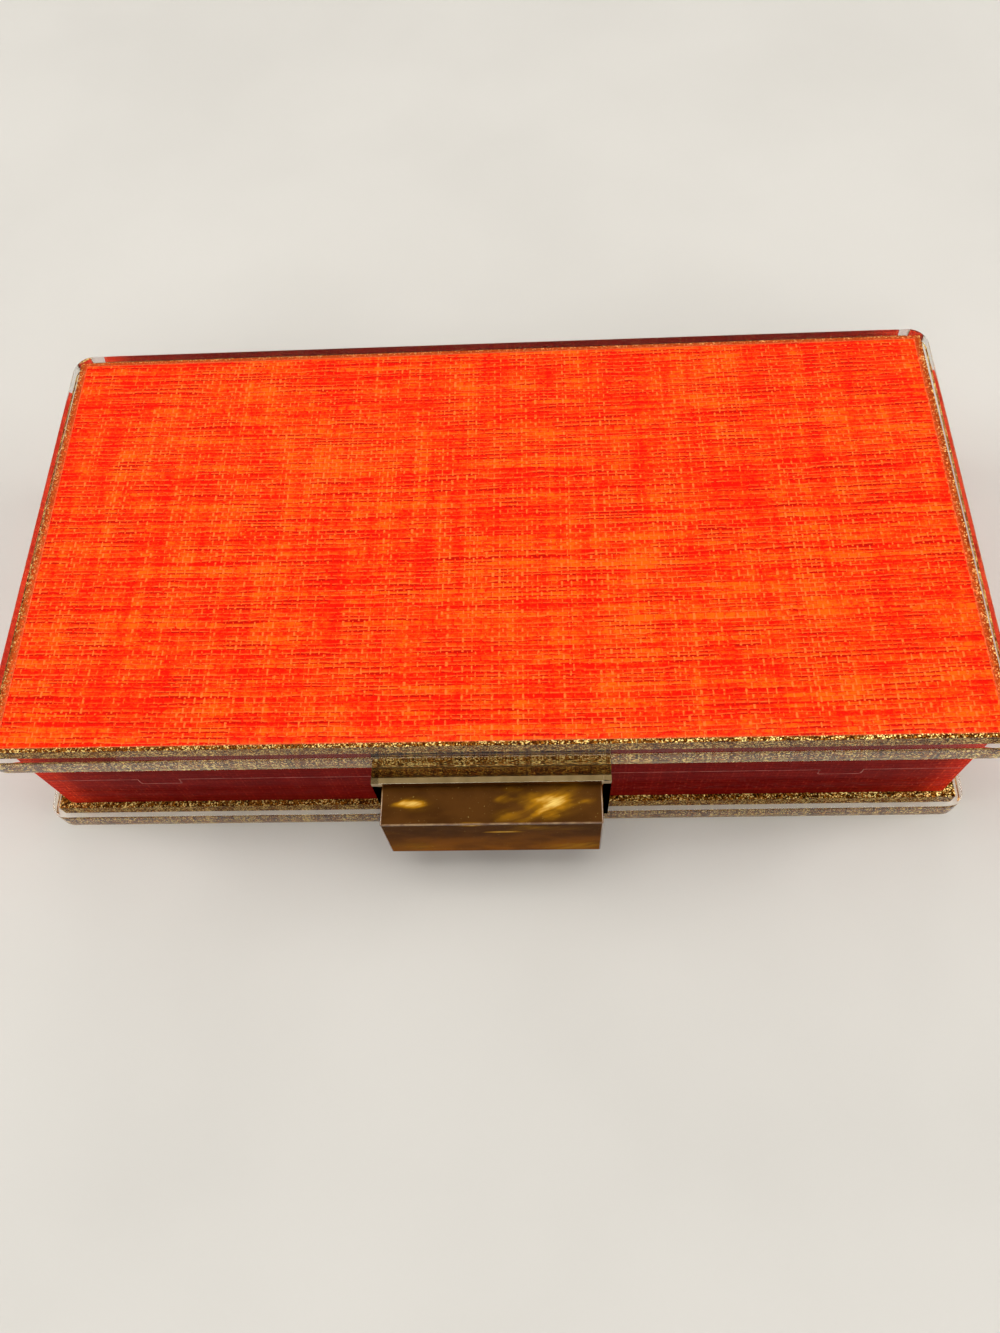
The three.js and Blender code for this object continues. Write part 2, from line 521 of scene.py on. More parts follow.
    def _dye(
        self, recipe: Recipe, warp: Strand, weft: Strand, on_top: Socket, patch: Socket, open_weave: Socket
    ) -> Socket:
        """Colour the ground, then the level threads on it with a painted highlight along their near rims,
        then the upright ones where they show, with painted shadow beside them.

        Args:
            recipe: The material being made.
            warp: The upright threads.
            weft: The level threads.
            on_top: Where an upright thread isn't under a level one.
            patch: How much lighter the dye is here.
            open_weave: How clearly the threads stand apart here.

        Returns:
            The colour.
        """
        weft_tone = recipe.plus(weft.tone, patch)
        colour = recipe.blend(recipe.span(weft_tone, *self.body_tones), self.deep, self.body)
        colour = recipe.blend(recipe.span(weft_tone, *self.bright_tones), colour, self.bright)
        # Painted highlight: the strand colour along each level thread's near rim.
        rim = recipe.times(weft.edge, open_weave)
        colour = recipe.blend(recipe.times(rim, self.near_rim_highlight), colour, self.strand)
        gap = recipe.blend(open_weave, self.deep, self.ground)
        colour = recipe.blend(weft.cover, gap, colour)
        warp_tone = recipe.plus(warp.tone, patch)
        strand = recipe.blend(recipe.span(warp_tone, *self.strand_body_tones), self.deep, self.body)
        strand = recipe.blend(recipe.span(warp_tone, *self.strand_tones), strand, self.strand)
        colour = recipe.blend(recipe.times(warp.cover, on_top), colour, strand)
        # Painted shadow: the ground's dark red beside each upright thread on top, on its near side.
        hollow = recipe.times(recipe.times(warp.shadow_flank, on_top), open_weave)
        return recipe.blend(recipe.times(hollow, self.flank_shadow_strength), colour, self.ground)

    def _strand(self, recipe: Recipe, yarn: Yarn, across: Socket, along: Socket) -> Strand:
        """Lay out one set of threads, each a little off its place and of its own, changing thickness.

        Args:
            recipe: The material being made.
            yarn: The set of threads.
            across: Place across the threads.
            along: Place along them.

        Returns:
            What the threads look like at a point.
        """
        drift = recipe.noise(recipe.point(across, along, yarn.seed), 1 / self.sway_length, detail=1.0)
        shrunk = recipe.maths("DIVIDE", across, yarn.swell)
        crowd = recipe.noise(recipe.point(shrunk, yarn.seed, yarn.seed), detail=1.0)
        swayed = recipe.maths("MULTIPLY_ADD", recipe.centred(drift), 2 * self.sway, across)
        swayed = recipe.maths("MULTIPLY_ADD", recipe.centred(crowd), 2 * yarn.uneven, swayed)
        count = recipe.maths("DIVIDE", swayed, yarn.pitch)
        index = recipe.maths("FLOOR", count)
        wave = recipe.maths("SINE", recipe.times(count, math.pi))
        shift = recipe.centred(recipe.draw(recipe.plus(index, yarn.seed)))
        off_centre = recipe.centred(recipe.minus(count, index))
        place = recipe.maths("MULTIPLY_ADD", shift, yarn.wander, off_centre)
        stretched = recipe.times(across, self.fray_across)
        frayed = recipe.noise(recipe.point(stretched, along, yarn.seed), self.fray_scale)
        place = recipe.maths("MULTIPLY_ADD", recipe.centred(frayed), self.fray, place)
        local = recipe.maths("ABSOLUTE", place)
        # The painted highlight and the painted shadow lie only on each thread's near side.
        near_side = recipe.span(place, -self.soft_edge, self.soft_edge, 1.0, 0.0)
        slub = self._thread_noise(recipe, yarn, index, along, yarn.slub, self.slub_spread)
        half = recipe.span(slub, *self.slub_steps, yarn.thin, yarn.thick)
        inner = recipe.minus(half, self.soft_edge)
        outer = recipe.plus(half, self.soft_edge)
        cover = recipe.span(local, inner, outer, 1.0, 0.0)
        beside = recipe.plus(outer, 2 * self.soft_edge)
        # The flank masks painted shadow beside the thread.
        shadow_flank = recipe.minus(recipe.span(local, outer, beside, 1.0, 0.0), cover)
        shadow_flank = recipe.times(shadow_flank, near_side)
        middle = recipe.minus(inner, 2 * self.soft_edge)
        # The edge masks a painted highlight along the thread's rim.
        edge = recipe.minus(cover, recipe.span(local, middle, inner, 1.0, 0.0))
        edge = recipe.times(edge, near_side)
        slope = recipe.maths("DIVIDE", local, outer)
        crown = recipe.minus(1.0, recipe.times(slope, slope))
        swell = self.tone_length * yarn.slub
        tone = self._thread_noise(recipe, yarn, index, along, swell, self.tone_spread)
        tone = recipe.minus(recipe.plus(tone, frayed), 1.0)
        tone = recipe.maths("MULTIPLY_ADD", tone, self.tone_gain, 0.5)
        own = recipe.centred(recipe.draw(recipe.minus(index, self.own_layer)))
        tone = recipe.maths("MULTIPLY_ADD", own, self.own_dye, tone)
        return Strand(wave, cover, shadow_flank, edge, crown, tone)

    @staticmethod
    def _thread_noise(
        recipe: Recipe, yarn: Yarn, index: Socket, along: Socket, length: float, spread: float
    ) -> Socket:
        """Add a noise that runs along each thread and differs from thread to thread.

        Args:
            recipe: The material being made.
            yarn: The set of threads.
            index: The thread's number.
            along: Place along the thread.
            length: Length of one swell.
            spread: How far apart two neighbours' patterns are taken.

        Returns:
            The grey value, mostly from 0.3 to 0.7.
        """
        apart = recipe.times(index, spread)
        place = recipe.point(apart, recipe.maths("DIVIDE", along, length), yarn.seed)
        return recipe.noise(place, detail=3.0, rough=0.6)

    def _patch(self, recipe: Recipe, across: Socket, along: Socket) -> Socket:
        """Work out how much lighter the dye is, in streaks both ways, soft blotches and fibres.

        Args:
            recipe: The material being made.
            across: Place across the upright threads.
            along: Place along them.

        Returns:
            The change in tone, 0 on average.
        """
        total: Value = 0.0
        for grain, weight in self.patches:
            part = recipe.centred(recipe.grain(grain, across, along))
            total = recipe.maths("MULTIPLY_ADD", part, weight, total)
        return total


@dataclass(frozen=True)
class GlitterFinish:
    """Gold flakes set in acrylic, each with its own tilt and tone. The nearest carry a painted glow of the
    linen's red light. The linen's dye glows in the nearest.

    Lengths are in millimetres. panel is half the linen's size, half_height half the closed box's height.
    """

    name: str
    dark: Colour
    middle: Colour
    light: Colour
    glow: Colour
    rim: Colour
    panel: tuple[float, float]
    half_height: float
    flake: float = 0.28
    cloud_scale: float = 0.35
    cloud_share: float = 0.5
    middle_tones: Span = (0.22, 0.84)
    light_tones: Span = (0.78, 0.87)
    lean: float = 0.9
    metallic: float = 0.4
    roughness: float = 0.4
    outer_skin: Span = (0.6, 0.1)
    glow_reach: float = 2.6
    glow_share: Span = (0.1, 0.9)
    front_corner: float = 0.3
    front_glow: float = 0.06
    rim_reach: float = 0.35
    rim_soft: float = 0.1
    rim_glow: float = 0.8

    def material(self) -> bpy.types.Material:
        """Make the glitter material."""
        recipe = Recipe(self.name)
        place = recipe.point(*recipe.place_mm())
        cells = recipe.node("ShaderNodeTexVoronoi", feature="F1")
        recipe.feed(cells.inputs["Vector"], place)
        cells.inputs["Scale"].default_value = 1 / self.flake
        split = recipe.node("ShaderNodeSeparateColor")
        recipe.feed(split.inputs[0], cells.outputs["Color"])
        cloud = recipe.centred(recipe.noise(place, self.cloud_scale))
        tone = recipe.maths("MULTIPLY_ADD", cloud, self.cloud_share, split.outputs[0])
        colour = recipe.blend(recipe.span(tone, *self.middle_tones), self.dark, self.middle)
        colour = recipe.blend(recipe.span(tone, *self.light_tones), colour, self.light)
        colour = self._ring(recipe, colour)
        tilt = recipe.vectors("SUBTRACT", cells.outputs["Color"], (0.5, 0.5, 0.5))
        lean = recipe.scaled(tilt, self.lean)
        facing = recipe.node("ShaderNodeNewGeometry").outputs["Normal"]
        shader = recipe.principled(
            Base_Color=colour,
            Metallic=self.metallic,
            Roughness=self.roughness,
            Specular_IOR_Level=0.0,
            Normal=recipe.vectors("NORMALIZE", recipe.vectors("ADD", facing, lean)),
        )
        return recipe.close(shader)

    def _ring(self, recipe: Recipe, colour: Socket) -> Socket:
        """Paint a glow of the linen's red light into the flakes beside it, weaker at the front, and a
        painted light line at the linen's own edge.

        Args:
            recipe: The material being made.
            colour: The flakes' colour.

        Returns:
            The colour with the painted glow and light line in it.
        """
        x, y, z = recipe.place_mm()
        beyond_x = recipe.minus(recipe.maths("ABSOLUTE", x), self.panel[0])
        beyond_y = recipe.minus(recipe.maths("ABSOLUTE", y), self.panel[1])
        beyond = recipe.maths("MAXIMUM", beyond_x, beyond_y)
        height = recipe.maths("ABSOLUTE", recipe.minus(z, self.half_height))
        inside, skin = self.outer_skin
        outer_face = recipe.span(height, self.half_height - inside, self.half_height - skin)
        towards_front = recipe.minus(recipe.times(y, -1.0), self.panel[1])
        frontal = recipe.minus(towards_front, beyond_x)
        away = recipe.span(frontal, -self.front_corner, self.front_corner, 1.0, self.front_glow)
        # Painted glow of the linen's red light, weaker towards the front.
        near = recipe.span(beyond, self.glow_reach, 0.0, *self.glow_share)
        near = recipe.times(recipe.times(near, outer_face), away)
        colour = recipe.blend(near, colour, self.glow)
        # Painted light line where the flakes meet the linen.
        linen_edge_glow = recipe.span(beyond, self.rim_reach, self.rim_soft, 0.0, self.rim_glow)
        return recipe.blend(recipe.times(linen_edge_glow, outer_face), colour, self.rim)


@dataclass(frozen=True)
class ClearFinish:
    """Polished clear acrylic that bends what is behind it and lets lamps through."""

    name: str
    tint: Colour
    ior: float = 1.49
    mirror: float = 0.1
    wear_scale: float = 0.9
    wear: Ramp = (0.4, 0.8, 0.01, 0.05)

    def material(self) -> bpy.types.Material:
        """Make the clear material."""
        recipe = Recipe(self.name)
        place = recipe.point(*recipe.place_mm())
        wear = recipe.noise(place, self.wear_scale, detail=3.0)
        glass = recipe.principled(
            Base_Color=self.tint,
            Transmission_Weight=1.0,
            Specular_IOR_Level=self.mirror,
            IOR=self.ior,
            Roughness=recipe.span(wear, *self.wear),
        )
        lamp = recipe.node("ShaderNodeLightPath")
        pane = recipe.node("ShaderNodeBsdfTransparent")
        recipe.feed(pane.inputs["Color"], self.tint)
        mixed = recipe.node("ShaderNodeMixShader")
        for socket, value in zip(mixed.inputs, (lamp.outputs["Is Shadow Ray"], glass, pane.outputs[0])):
            recipe.feed(socket, value)
        return recipe.close(mixed.outputs[0])


@dataclass(frozen=True)
class EdgeFinish:
    """The thin edge faces: on the walls where the laminate is cut and polished, on the resin bar a painted
    highlight along its arrises.
    """

    name: str
    body: Colour
    pale: Colour
    patch_scale: float = 0.4
    patch_steps: Span = (0.35, 0.65)
    roughness: float = 0.2
    coat: float = 0.6
    coat_roughness: float = 0.08

    def material(self) -> bpy.types.Material:
        """Make the edge material."""
        recipe = Recipe(self.name)
        place = recipe.point(*recipe.place_mm())
        patch = recipe.noise(place, self.patch_scale, detail=3.0)
        shader = recipe.principled(
            Base_Color=recipe.blend(recipe.span(patch, *self.patch_steps), self.body, self.pale),
            Roughness=self.roughness,
            Coat_Weight=self.coat,
            Coat_Roughness=self.coat_roughness,
        )
        return recipe.close(shader)


@dataclass(frozen=True)
class MetalFinish:
    """Metal with fine rubbing marks along X."""

    name: str
    body: Colour
    worn: Colour
    roughness: float = 0.04
    marks: float = 0.05
    smoothest: float = 0.7
    mark_along: float = 0.25
    mark_across: float = 6.0
    mark_steps: Span = (0.35, 0.75)
    cloud_scale: float = 0.25
    cloud_steps: Span = (0.35, 0.7)
    relief: float = 0.002
    relief_share: float = 0.3

    def material(self) -> bpy.types.Material:
        """Make the metal material."""
        recipe = Recipe(self.name)
        x, y, z = recipe.place_mm()
        scales = (self.mark_along, self.mark_across, self.mark_across)
        stretched = (recipe.times(place, scale) for place, scale in zip((x, y, z), scales))
        rubbed = recipe.noise(recipe.point(*stretched), detail=3.0)
        cloud = recipe.noise(recipe.point(x, y, z), self.cloud_scale)
        least, most = self.roughness * self.smoothest, self.roughness + self.marks
        shader = recipe.principled(
            Base_Color=recipe.blend(recipe.span(cloud, *self.cloud_steps), self.body, self.worn),
            Metallic=1.0,
            Roughness=recipe.span(rubbed, *self.mark_steps, least, most),
            Normal=recipe.bump(rubbed, self.relief, self.relief_share),
        )
        return recipe.close(shader)


@dataclass(frozen=True)
class PearlCloud:
    """One pearly patch in the resin: its middle and reach in millimetres, and its strength."""

    middle: tuple[float, float, float]
    reach: tuple[float, float, float]
    strength: float = 1.0


@dataclass(frozen=True)
class PearlFinish:
    """Amber resin with pearly clouds, whose silk runs aslant, a painted glow of light along its foot and
    painted shadow at its back, under the ledge.
    """

    name: str
    body: Colour
    deep: Colour
    gold: Colour
    pale: Colour
    glow: Colour
    shade: Colour
    clouds: tuple[PearlCloud, ...]
    foot_level: float
    back_line: float
    glow_height: float = 19.0
    glow_swirl: Ramp = (0.35, 0.65, 0.5, 1.0)
    body_swirl: Span = (0.36, 0.62)
    shade_depth: float = 3.0
    shade_share: float = 0.75
    slant: float = math.radians(24)
    pearl_silk: Ramp = (0.25, 0.75, 0.45, 1.1)
    gold_steps: Span = (0.0, 1.0)
    pale_steps: Span = (0.6, 1.6)
    swirl_stretch: float = 1.6
    swirl_scale: float = 0.11
    swirl_bend: float = 3.0
    silk_stretch: float = 0.14
    silk_scale: float = 0.8
    cloud_fray: float = 1.4
    cloud_edge: float = 1.1
    dust_scale: float = 2.6
    dust_share: Ramp = (0.7, 0.78, 0.0, 0.5)
    dust_relief: float = 0.01
    relief_share: float = 0.2
    roughness: float = 0.45
    coat: float = 0.07
    coat_roughness: float = 0.06
    coat_ior: float = 1.45

    def material(self) -> bpy.types.Material:
        """Make the resin material."""
        recipe = Recipe(self.name)
        x, y, z = recipe.place_mm()
        silk, swirl = self._silk(recipe, x, y, z)
        pearl: Value = 0.0
        for cloud in self.clouds:
            pearl = recipe.plus(pearl, self._cloud(recipe, (x, y, z), swirl, cloud))
        pearl = recipe.times(pearl, recipe.span(silk, *self.pearl_silk))
        colour = recipe.blend(recipe.span(swirl, *self.body_swirl), self.deep, self.body)
        # Painted glow: lighter towards the foot, as if lit through the resin.
        foot = recipe.span(z, self.foot_level + self.glow_height, self.foot_level)
        lit = recipe.times(foot, recipe.span(swirl, *self.glow_swirl))
        colour = recipe.blend(lit, colour, self.glow)
        # Painted shadow: darker towards the back, where the frame's ledge overhangs the bar.
        back = recipe.span(y, self.back_line - self.shade_depth, self.back_line)
        colour = recipe.blend(recipe.times(back, self.shade_share), colour, self.shade)
        colour = recipe.blend(recipe.span(pearl, *self.gold_steps), colour, self.gold)
        colour = recipe.blend(recipe.span(pearl, *self.pale_steps), colour, self.pale)
        dust = recipe.noise(recipe.point(x, y, z), self.dust_scale, rough=0.6)
        colour = recipe.blend(recipe.span(dust, *self.dust_share), colour, self.pale)
        shader = recipe.principled(
            Base_Color=colour,
            Roughness=self.roughness,
            Specular_IOR_Level=0.0,
            Coat_Weight=self.coat,
            Coat_Roughness=self.coat_roughness,
            Coat_IOR=self.coat_ior,
            Normal=recipe.bump(dust, self.dust_relief, self.relief_share),
        )
        return recipe.close(shader)

    def _silk(self, recipe: Recipe, x: Socket, y: Socket, z: Socket) -> tuple[Socket, Socket]:
        """Make the resin's fine slanting silk and its slow swirl.

        Args:
            recipe: The material being made.
            x: First coordinate in millimetres.
            y: Second coordinate.
            z: Third coordinate.

        Returns:
            The silk's and the swirl's grey values.
        """
        side = recipe.plus(y, z)
        cosine, sine = math.cos(self.slant), math.sin(self.slant)
        run = recipe.maths("MULTIPLY_ADD", x, cosine, recipe.times(side, sine))
        fall = recipe.maths("MULTIPLY_ADD", x, -sine, recipe.times(side, cosine))
        stretched = recipe.point(x, recipe.times(side, self.swirl_stretch))
        swirl = recipe.noise(stretched, self.swirl_scale, detail=3.0, rough=0.55)
        bent = recipe.maths("MULTIPLY_ADD", recipe.centred(swirl), self.swirl_bend, fall)
        drawn_out = recipe.point(recipe.times(run, self.silk_stretch), bent)
        return recipe.noise(drawn_out, self.silk_scale), swirl

    def _cloud(
        self, recipe: Recipe, place: tuple[Socket, Socket, Socket], swirl: Socket, cloud: PearlCloud
    ) -> Socket:
        """Work out how strongly one pearly patch shows.

        Args:
            recipe: The material being made.
            place: The three coordinates in millimetres.
            swirl: A grey value that frays the patch's edge.
            cloud: The patch.

        Returns:
            The patch's strength, 0 outside it.
        """
        total: Value = 0.0
        for coordinate, middle, reach in zip(place, cloud.middle, cloud.reach):
            offset = recipe.maths("DIVIDE", recipe.minus(coordinate, middle), reach)
            total = recipe.maths("MULTIPLY_ADD", offset, offset, total)
        distance = recipe.maths("SQRT", total)
        frayed = recipe.maths("MULTIPLY_ADD", recipe.centred(swirl), self.cloud_fray, distance)
        return recipe.span(frayed, self.cloud_edge, 0.0, 0.0, cloud.strength)


@dataclass(frozen=True)
class FloorFinish:
    """A plain pale matt floor with the faintest mottling."""

    name: str
    body: Colour
    shade: Colour
    patch_scale: float = 0.01
    patch_steps: Span = (0.3, 0.7)
    roughness: float = 0.75

    def material(self) -> bpy.types.Material:
        """Make the floor material."""
        recipe = Recipe(self.name)
        place = recipe.point(*recipe.place_mm())
        patch = recipe.noise(place, self.patch_scale, detail=3.0)
        colour = recipe.blend(recipe.span(patch, *self.patch_steps), self.body, self.shade)
        shader = recipe.principled(Base_Color=colour, Roughness=self.roughness)
        return recipe.close(shader)


@dataclass
class Finishes:
    """Every material of the clutch, made once."""

    panel_linen: bpy.types.Material
    wall_linen: bpy.types.Material
    cut_edge: bpy.types.Material
    glitter: bpy.types.Material
    clear: bpy.types.Material
    pale_gold: bpy.types.Material
    gold_arris_highlight: bpy.types.Material
    brass: bpy.types.Material
    resin: bpy.types.Material
    resin_arris_highlight: bpy.types.Material

    @staticmethod
    def make() -> "Finishes":
        """Make all the materials.

        Returns:
            The set of materials.
        """
        bar_low, bar_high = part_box("clasp_bar")
        _, panel_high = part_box("lid_linen")
        _, wall_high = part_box("lid_wall")
        foot, back = bar_low.z / MM, bar_high.y / MM
        front, top = bar_low.y / MM, bar_high.z / MM
        # The resin's pearly clouds. The two low on the front face are a painted glow of light through the
        # resin, and the one just under the front arris is a painted highlight.
        clouds = (
            PearlCloud((13.2, front + 5.4, top), (5.0, 2.4, 3.0), 1.0),
            PearlCloud((9.8, front + 4.0, top), (6.4, 3.0, 4.0), 0.6),
            PearlCloud((5.6, front + 1.6, top), (7.4, 2.6, 5.0), 0.45),
            PearlCloud((15.0, front + 5.6, top), (9.0, 5.4, 5.0), 0.45),
            PearlCloud((-17.6, front + 4.8, top), (4.2, 1.0, 3.0), 1.15),
            PearlCloud((-17.0, front + 4.8, top), (6.4, 2.4, 3.0), 0.35),
            PearlCloud((2.2, front + 5.6, top), (2.8, 1.4, 3.0), 0.45),
            PearlCloud((4.6, front + 7.6, top), (3.2, 1.2, 3.0), 0.3),
            PearlCloud((20.4, front + 5.0, top), (2.4, 1.2, 2.0), 0.5),
            PearlCloud((-4.2, front, top - 0.4), (4.6, 0.9, 1.3), 1.3),
            PearlCloud((3.4, front, top - 5.2), (6.0, 1.5, 0.8), 1.1),
            PearlCloud((12.0, front, top - 3.2), (12.0, 1.5, 2.6), 0.4),
            PearlCloud((-17.0, front, top - 16.0), (9.0, 2.0, 6.0), 0.4),
            PearlCloud((17.0, front, top - 16.0), (9.0, 2.0, 5.0), 0.7),
        )
        return Finishes(
            panel_linen=LinenFinish(
                name="panel_linen",
                plane=ClothPlane.FLAT,
                ground=linear(186, 12, 0),
                deep=linear(234, 16, 0),
                body=linear(250, 54, 2),
                bright=linear(255, 90, 6),
                strand=linear(255, 110, 42),
            ).material(),
            # The walls' linen: the panel's weave in darker colours, painted shade under the lid's overhang,
            # with painted light brightening the ends.
            wall_linen=LinenFinish(
                name="wall_linen",
                plane=ClothPlane.UPRIGHT,
                ground=linear(92, 8, 6),
                deep=linear(108, 10, 8),
                body=linear(120, 15, 11),
                bright=linear(132, 22, 15),
                strand=linear(140, 30, 20),
                end_light_gain=(3.7, 5.6, 2.8),
                outer_half=(wall_high.x / MM, wall_high.y / MM),
                bow=0.0,
                coat=0.1,
            ).material(),
            cut_edge=EdgeFinish("cut_edge", linear(150, 50, 40), linear(200, 96, 82)).material(),
            glitter=GlitterFinish(
                name="gold_glitter",
                dark=linear(50, 24, 5),
                middle=linear(174, 108, 34),
                light=linear(255, 226, 138),
                # glow and rim: painted light from the linen, a glow in the flakes and a light line at its
                # edge.
                glow=linear(222, 78, 30),
                rim=linear(250, 104, 60),
                panel=(panel_high.x / MM, panel_high.y / MM),
                half_height=panel_high.z / MM / 2,
            ).material(),
            clear=ClearFinish("clear_acrylic", (0.97, 0.96, 0.94)).material(),
            pale_gold=MetalFinish("pale_gold", linear(172, 146, 100), linear(152, 126, 82)).material(),
            gold_arris_highlight=MetalFinish("gold_arris_highlight", linear(244, 236, 208), linear(232, 218, 180)).material(),
            brass=MetalFinish(
                "hinge_brass", linear(204, 172, 108), linear(186, 152, 90), roughness=0.22, marks=0.16
            ).material(),
            resin=PearlFinish(
                name="amber_resin",
                body=linear(78, 46, 14),
                deep=linear(64, 36, 9),
                gold=linear(176, 120, 16),
                pale=linear(240, 208, 116),
                # glow and shade: painted light along the foot and painted shadow under the ledge.
                glow=linear(138, 78, 8),
                shade=linear(56, 24, 7),
                clouds=clouds,
                foot_level=foot,
                back_line=back,
            ).material(),
            resin_arris_highlight=EdgeFinish("resin_arris_highlight", linear(98, 62, 26), linear(140, 108, 66)).material(),
        )


Test = Callable[[Vector, Vector], bool]


class Piece:
    """One solid while it is shaped with Blender's operators."""

    merge_reach: float = 0.001 * MM
    flat_angle: float = math.radians(0.5)
    sharp_angle: float = math.radians(35)
    smooth_angle: float = math.radians(32)
    face_weight: int = 100

    def __init__(self, name: str, low: Sequence[float], high: Sequence[float]) -> None:
        """Start from a block.

        Args:
            name: The piece's name.
            low: Lowest corner, in metres.
            high: Highest corner, in metres.
        """
        self.rest()
        middle = [(first + last) / 2 for first, last in zip(low, high)]
        size = [last - first for first, last in zip(low, high)]
        bpy.ops.mesh.primitive_cube_add(size=1, location=middle, scale=size)
        self._take(name)

    @classmethod
    def rod(cls, name: str, radius: float, start: Vector, end: Vector, sides: int = 48) -> "Piece":
        """Start from a round rod.

        Args:
            name: The piece's name.
            radius: The rod's radius.
            start: Middle of one end.
            end: Middle of the other end.
            sides: How many sides its round has.

        Returns:
            The rod.
        """
        made = cls.__new__(cls)
        cls.rest()
        bpy.ops.mesh.primitive_cylinder_add(
            vertices=sides,
            radius=radius,
            depth=(end - start).length,
            location=(start + end) / 2,
            rotation=(end - start).to_track_quat("Z", "Y").to_euler(),
        )
        made._take(name)
        return made

    def copy(self, shift: Sequence[float]) -> "Piece":
        """Copy this piece, with a mesh of its own, to another place.

        Args:
            shift: How far away the copy stands.

        Returns:
            The copy.
        """
        self._activate()
        bpy.ops.object.duplicate(linked=False)
        bpy.ops.transform.translate(value=shift)
        made = type(self).__new__(type(self))
        made._take(self.thing.name)
        return made

    @staticmethod
    def rest() -> None:
        """Leave edit mode and deselect everything."""
        if bpy.context.object is not None and bpy.context.object.mode != "OBJECT":
            bpy.ops.object.mode_set(mode="OBJECT")
        bpy.ops.object.select_all(action="DESELECT")

    def _take(self, name: str) -> None:
        """Keep the object just added as this piece, with its place in its mesh.

        Args:
            name: The piece's name.
        """
        self.thing = bpy.context.object
        self.thing.name = name
        self.thing.data.name = name
        bpy.ops.object.transform_apply(location=True, rotation=True, scale=True)

    def _activate(self) -> None:
        """Make this piece the only selected one, and the active one."""
        self.rest()
        self.thing.select_set(True)
        bpy.context.view_layer.objects.active = self.thing

    def _edit(self, action: str) -> None:
        """Enter edit mode on this piece.

        Args:
            action: SELECT for everything selected, or DESELECT for nothing.
        """
        self._activate()
        bpy.ops.object.mode_set(mode="EDIT")
        bpy.ops.mesh.select_mode(type="EDGE")
        bpy.ops.mesh.select_all(action=action)

    def bevel_edges(self, test: Test, width: float, segments: int) -> "Piece":
        """Round or cut the edges whose two ends pass the test.

        Args:
            test: Says of an edge's two ends whether it is meant.
            width: The bevel's width.
            segments: How many steps the bevel has.

        Returns:
            This piece.
        """
        mesh = self.thing.data
        corners = [vertex.co for vertex in mesh.vertices]
        wanted = [edge.index for edge in mesh.edges if test(*(corners[end] for end in edge.vertices))]
        self._edit("DESELECT")
        bpy.ops.object.mode_set(mode="OBJECT")
        for index in wanted:
            mesh.edges[index].select = True
        bpy.ops.object.mode_set(mode="EDIT")
        bpy.ops.mesh.bevel(offset=width, segments=segments, affect="EDGES", profile=0.5, clamp_overlap=True)
        bpy.ops.object.mode_set(mode="OBJECT")
        return self

    def cut_off(self, place: Vector, outwards: Vector) -> "Piece":
        """Cut off what lies past a plane, and close the cut.

        Args:
            place: A point of the plane.
            outwards: The direction in which all is cut off.

        Returns:
            This piece.
        """
        self._edit("SELECT")
        bpy.ops.mesh.bisect(plane_co=place, plane_no=outwards, use_fill=True, clear_outer=True)
        bpy.ops.object.mode_set(mode="OBJECT")
        return self

    def combine(self, other: "Piece", operation: str) -> "Piece":
        """Cut another piece out of this one, or join it on, and use the other one up.

        Args:
            other: The other piece.
            operation: DIFFERENCE or UNION.

        Returns:
            This piece.
        """
        self._activate()
        modifier = self.thing.modifiers.new("combine", "BOOLEAN")
        modifier.operation = operation
        modifier.solver = "EXACT"
        modifier.object = other.thing
        bpy.ops.object.modifier_apply(modifier=modifier.name)
        spent = other.thing.data
        bpy.data.objects.remove(other.thing)
        bpy.data.meshes.remove(spent)
        return self

    def soften(self, width: float, segments: int = 2, edge_slot: int = -1) -> "Piece":
        """Bevel every sharp edge.

        Args:
            width: The bevel's width.
            segments: How many steps the bevel has.
            edge_slot: Material slot of the bevel's faces, or -1 to keep their own.

        Returns:
            This piece.
        """
        self._edit("SELECT")
        bpy.ops.mesh.remove_doubles(threshold=self.merge_reach)
        bpy.ops.mesh.dissolve_limited(angle_limit=self.flat_angle)
        bpy.ops.object.mode_set(mode="OBJECT")
        modifier = self.thing.modifiers.new("soften", "BEVEL")
        modifier.width = width
        modifier.segments = segments
        modifier.limit_method = "ANGLE"
        modifier.angle_limit = self.sharp_angle
        modifier.use_clamp_overlap = True
        modifier.material = edge_slot
        bpy.ops.object.modifier_apply(modifier=modifier.name)
        return self

    def dress(self, *materials: bpy.types.Material) -> "Piece":
        """Give the piece its materials, the first one all over.

        Args:
            materials: The materials in slot order.

        Returns:
            This piece.
        """
        self.thing.data.materials.clear()
        for material in materials:
            self.thing.data.materials.append(material)
        return self

    def finish(self, body: str, slot: str, *replaced: str) -> "Piece":
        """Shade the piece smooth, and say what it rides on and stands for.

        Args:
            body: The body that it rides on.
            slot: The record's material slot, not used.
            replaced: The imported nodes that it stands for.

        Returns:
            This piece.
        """
        self._activate()
        bpy.ops.object.shade_smooth_by_angle(angle=self.smooth_angle)
        modifier = self.thing.modifiers.new("flat faces stay flat", "WEIGHTED_NORMAL")
        modifier.weight = self.face_weight
        modifier.keep_sharp = True
        bpy.ops.object.modifier_apply(modifier=modifier.name)
        self.rest()
        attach(self.thing, body)
        if replaced:
            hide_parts(*replaced)
        LOG.info("%s: %d faces", self.thing.name, len(self.thing.data.polygons))
        return self


def upright(first: Vector, last: Vector) -> bool:
    """Say whether an edge stands upright."""
    return abs(first.x - last.x) < TOUCH and abs(first.y - last.y) < TOUCH


def level(first: Vector, last: Vector) -> bool:
    """Say whether an edge lies level."""
    return abs(first.z - last.z) < TOUCH


class Side(Enum):
    """Which way a plate's outer face looks."""

    UP = 1
    DOWN = -1


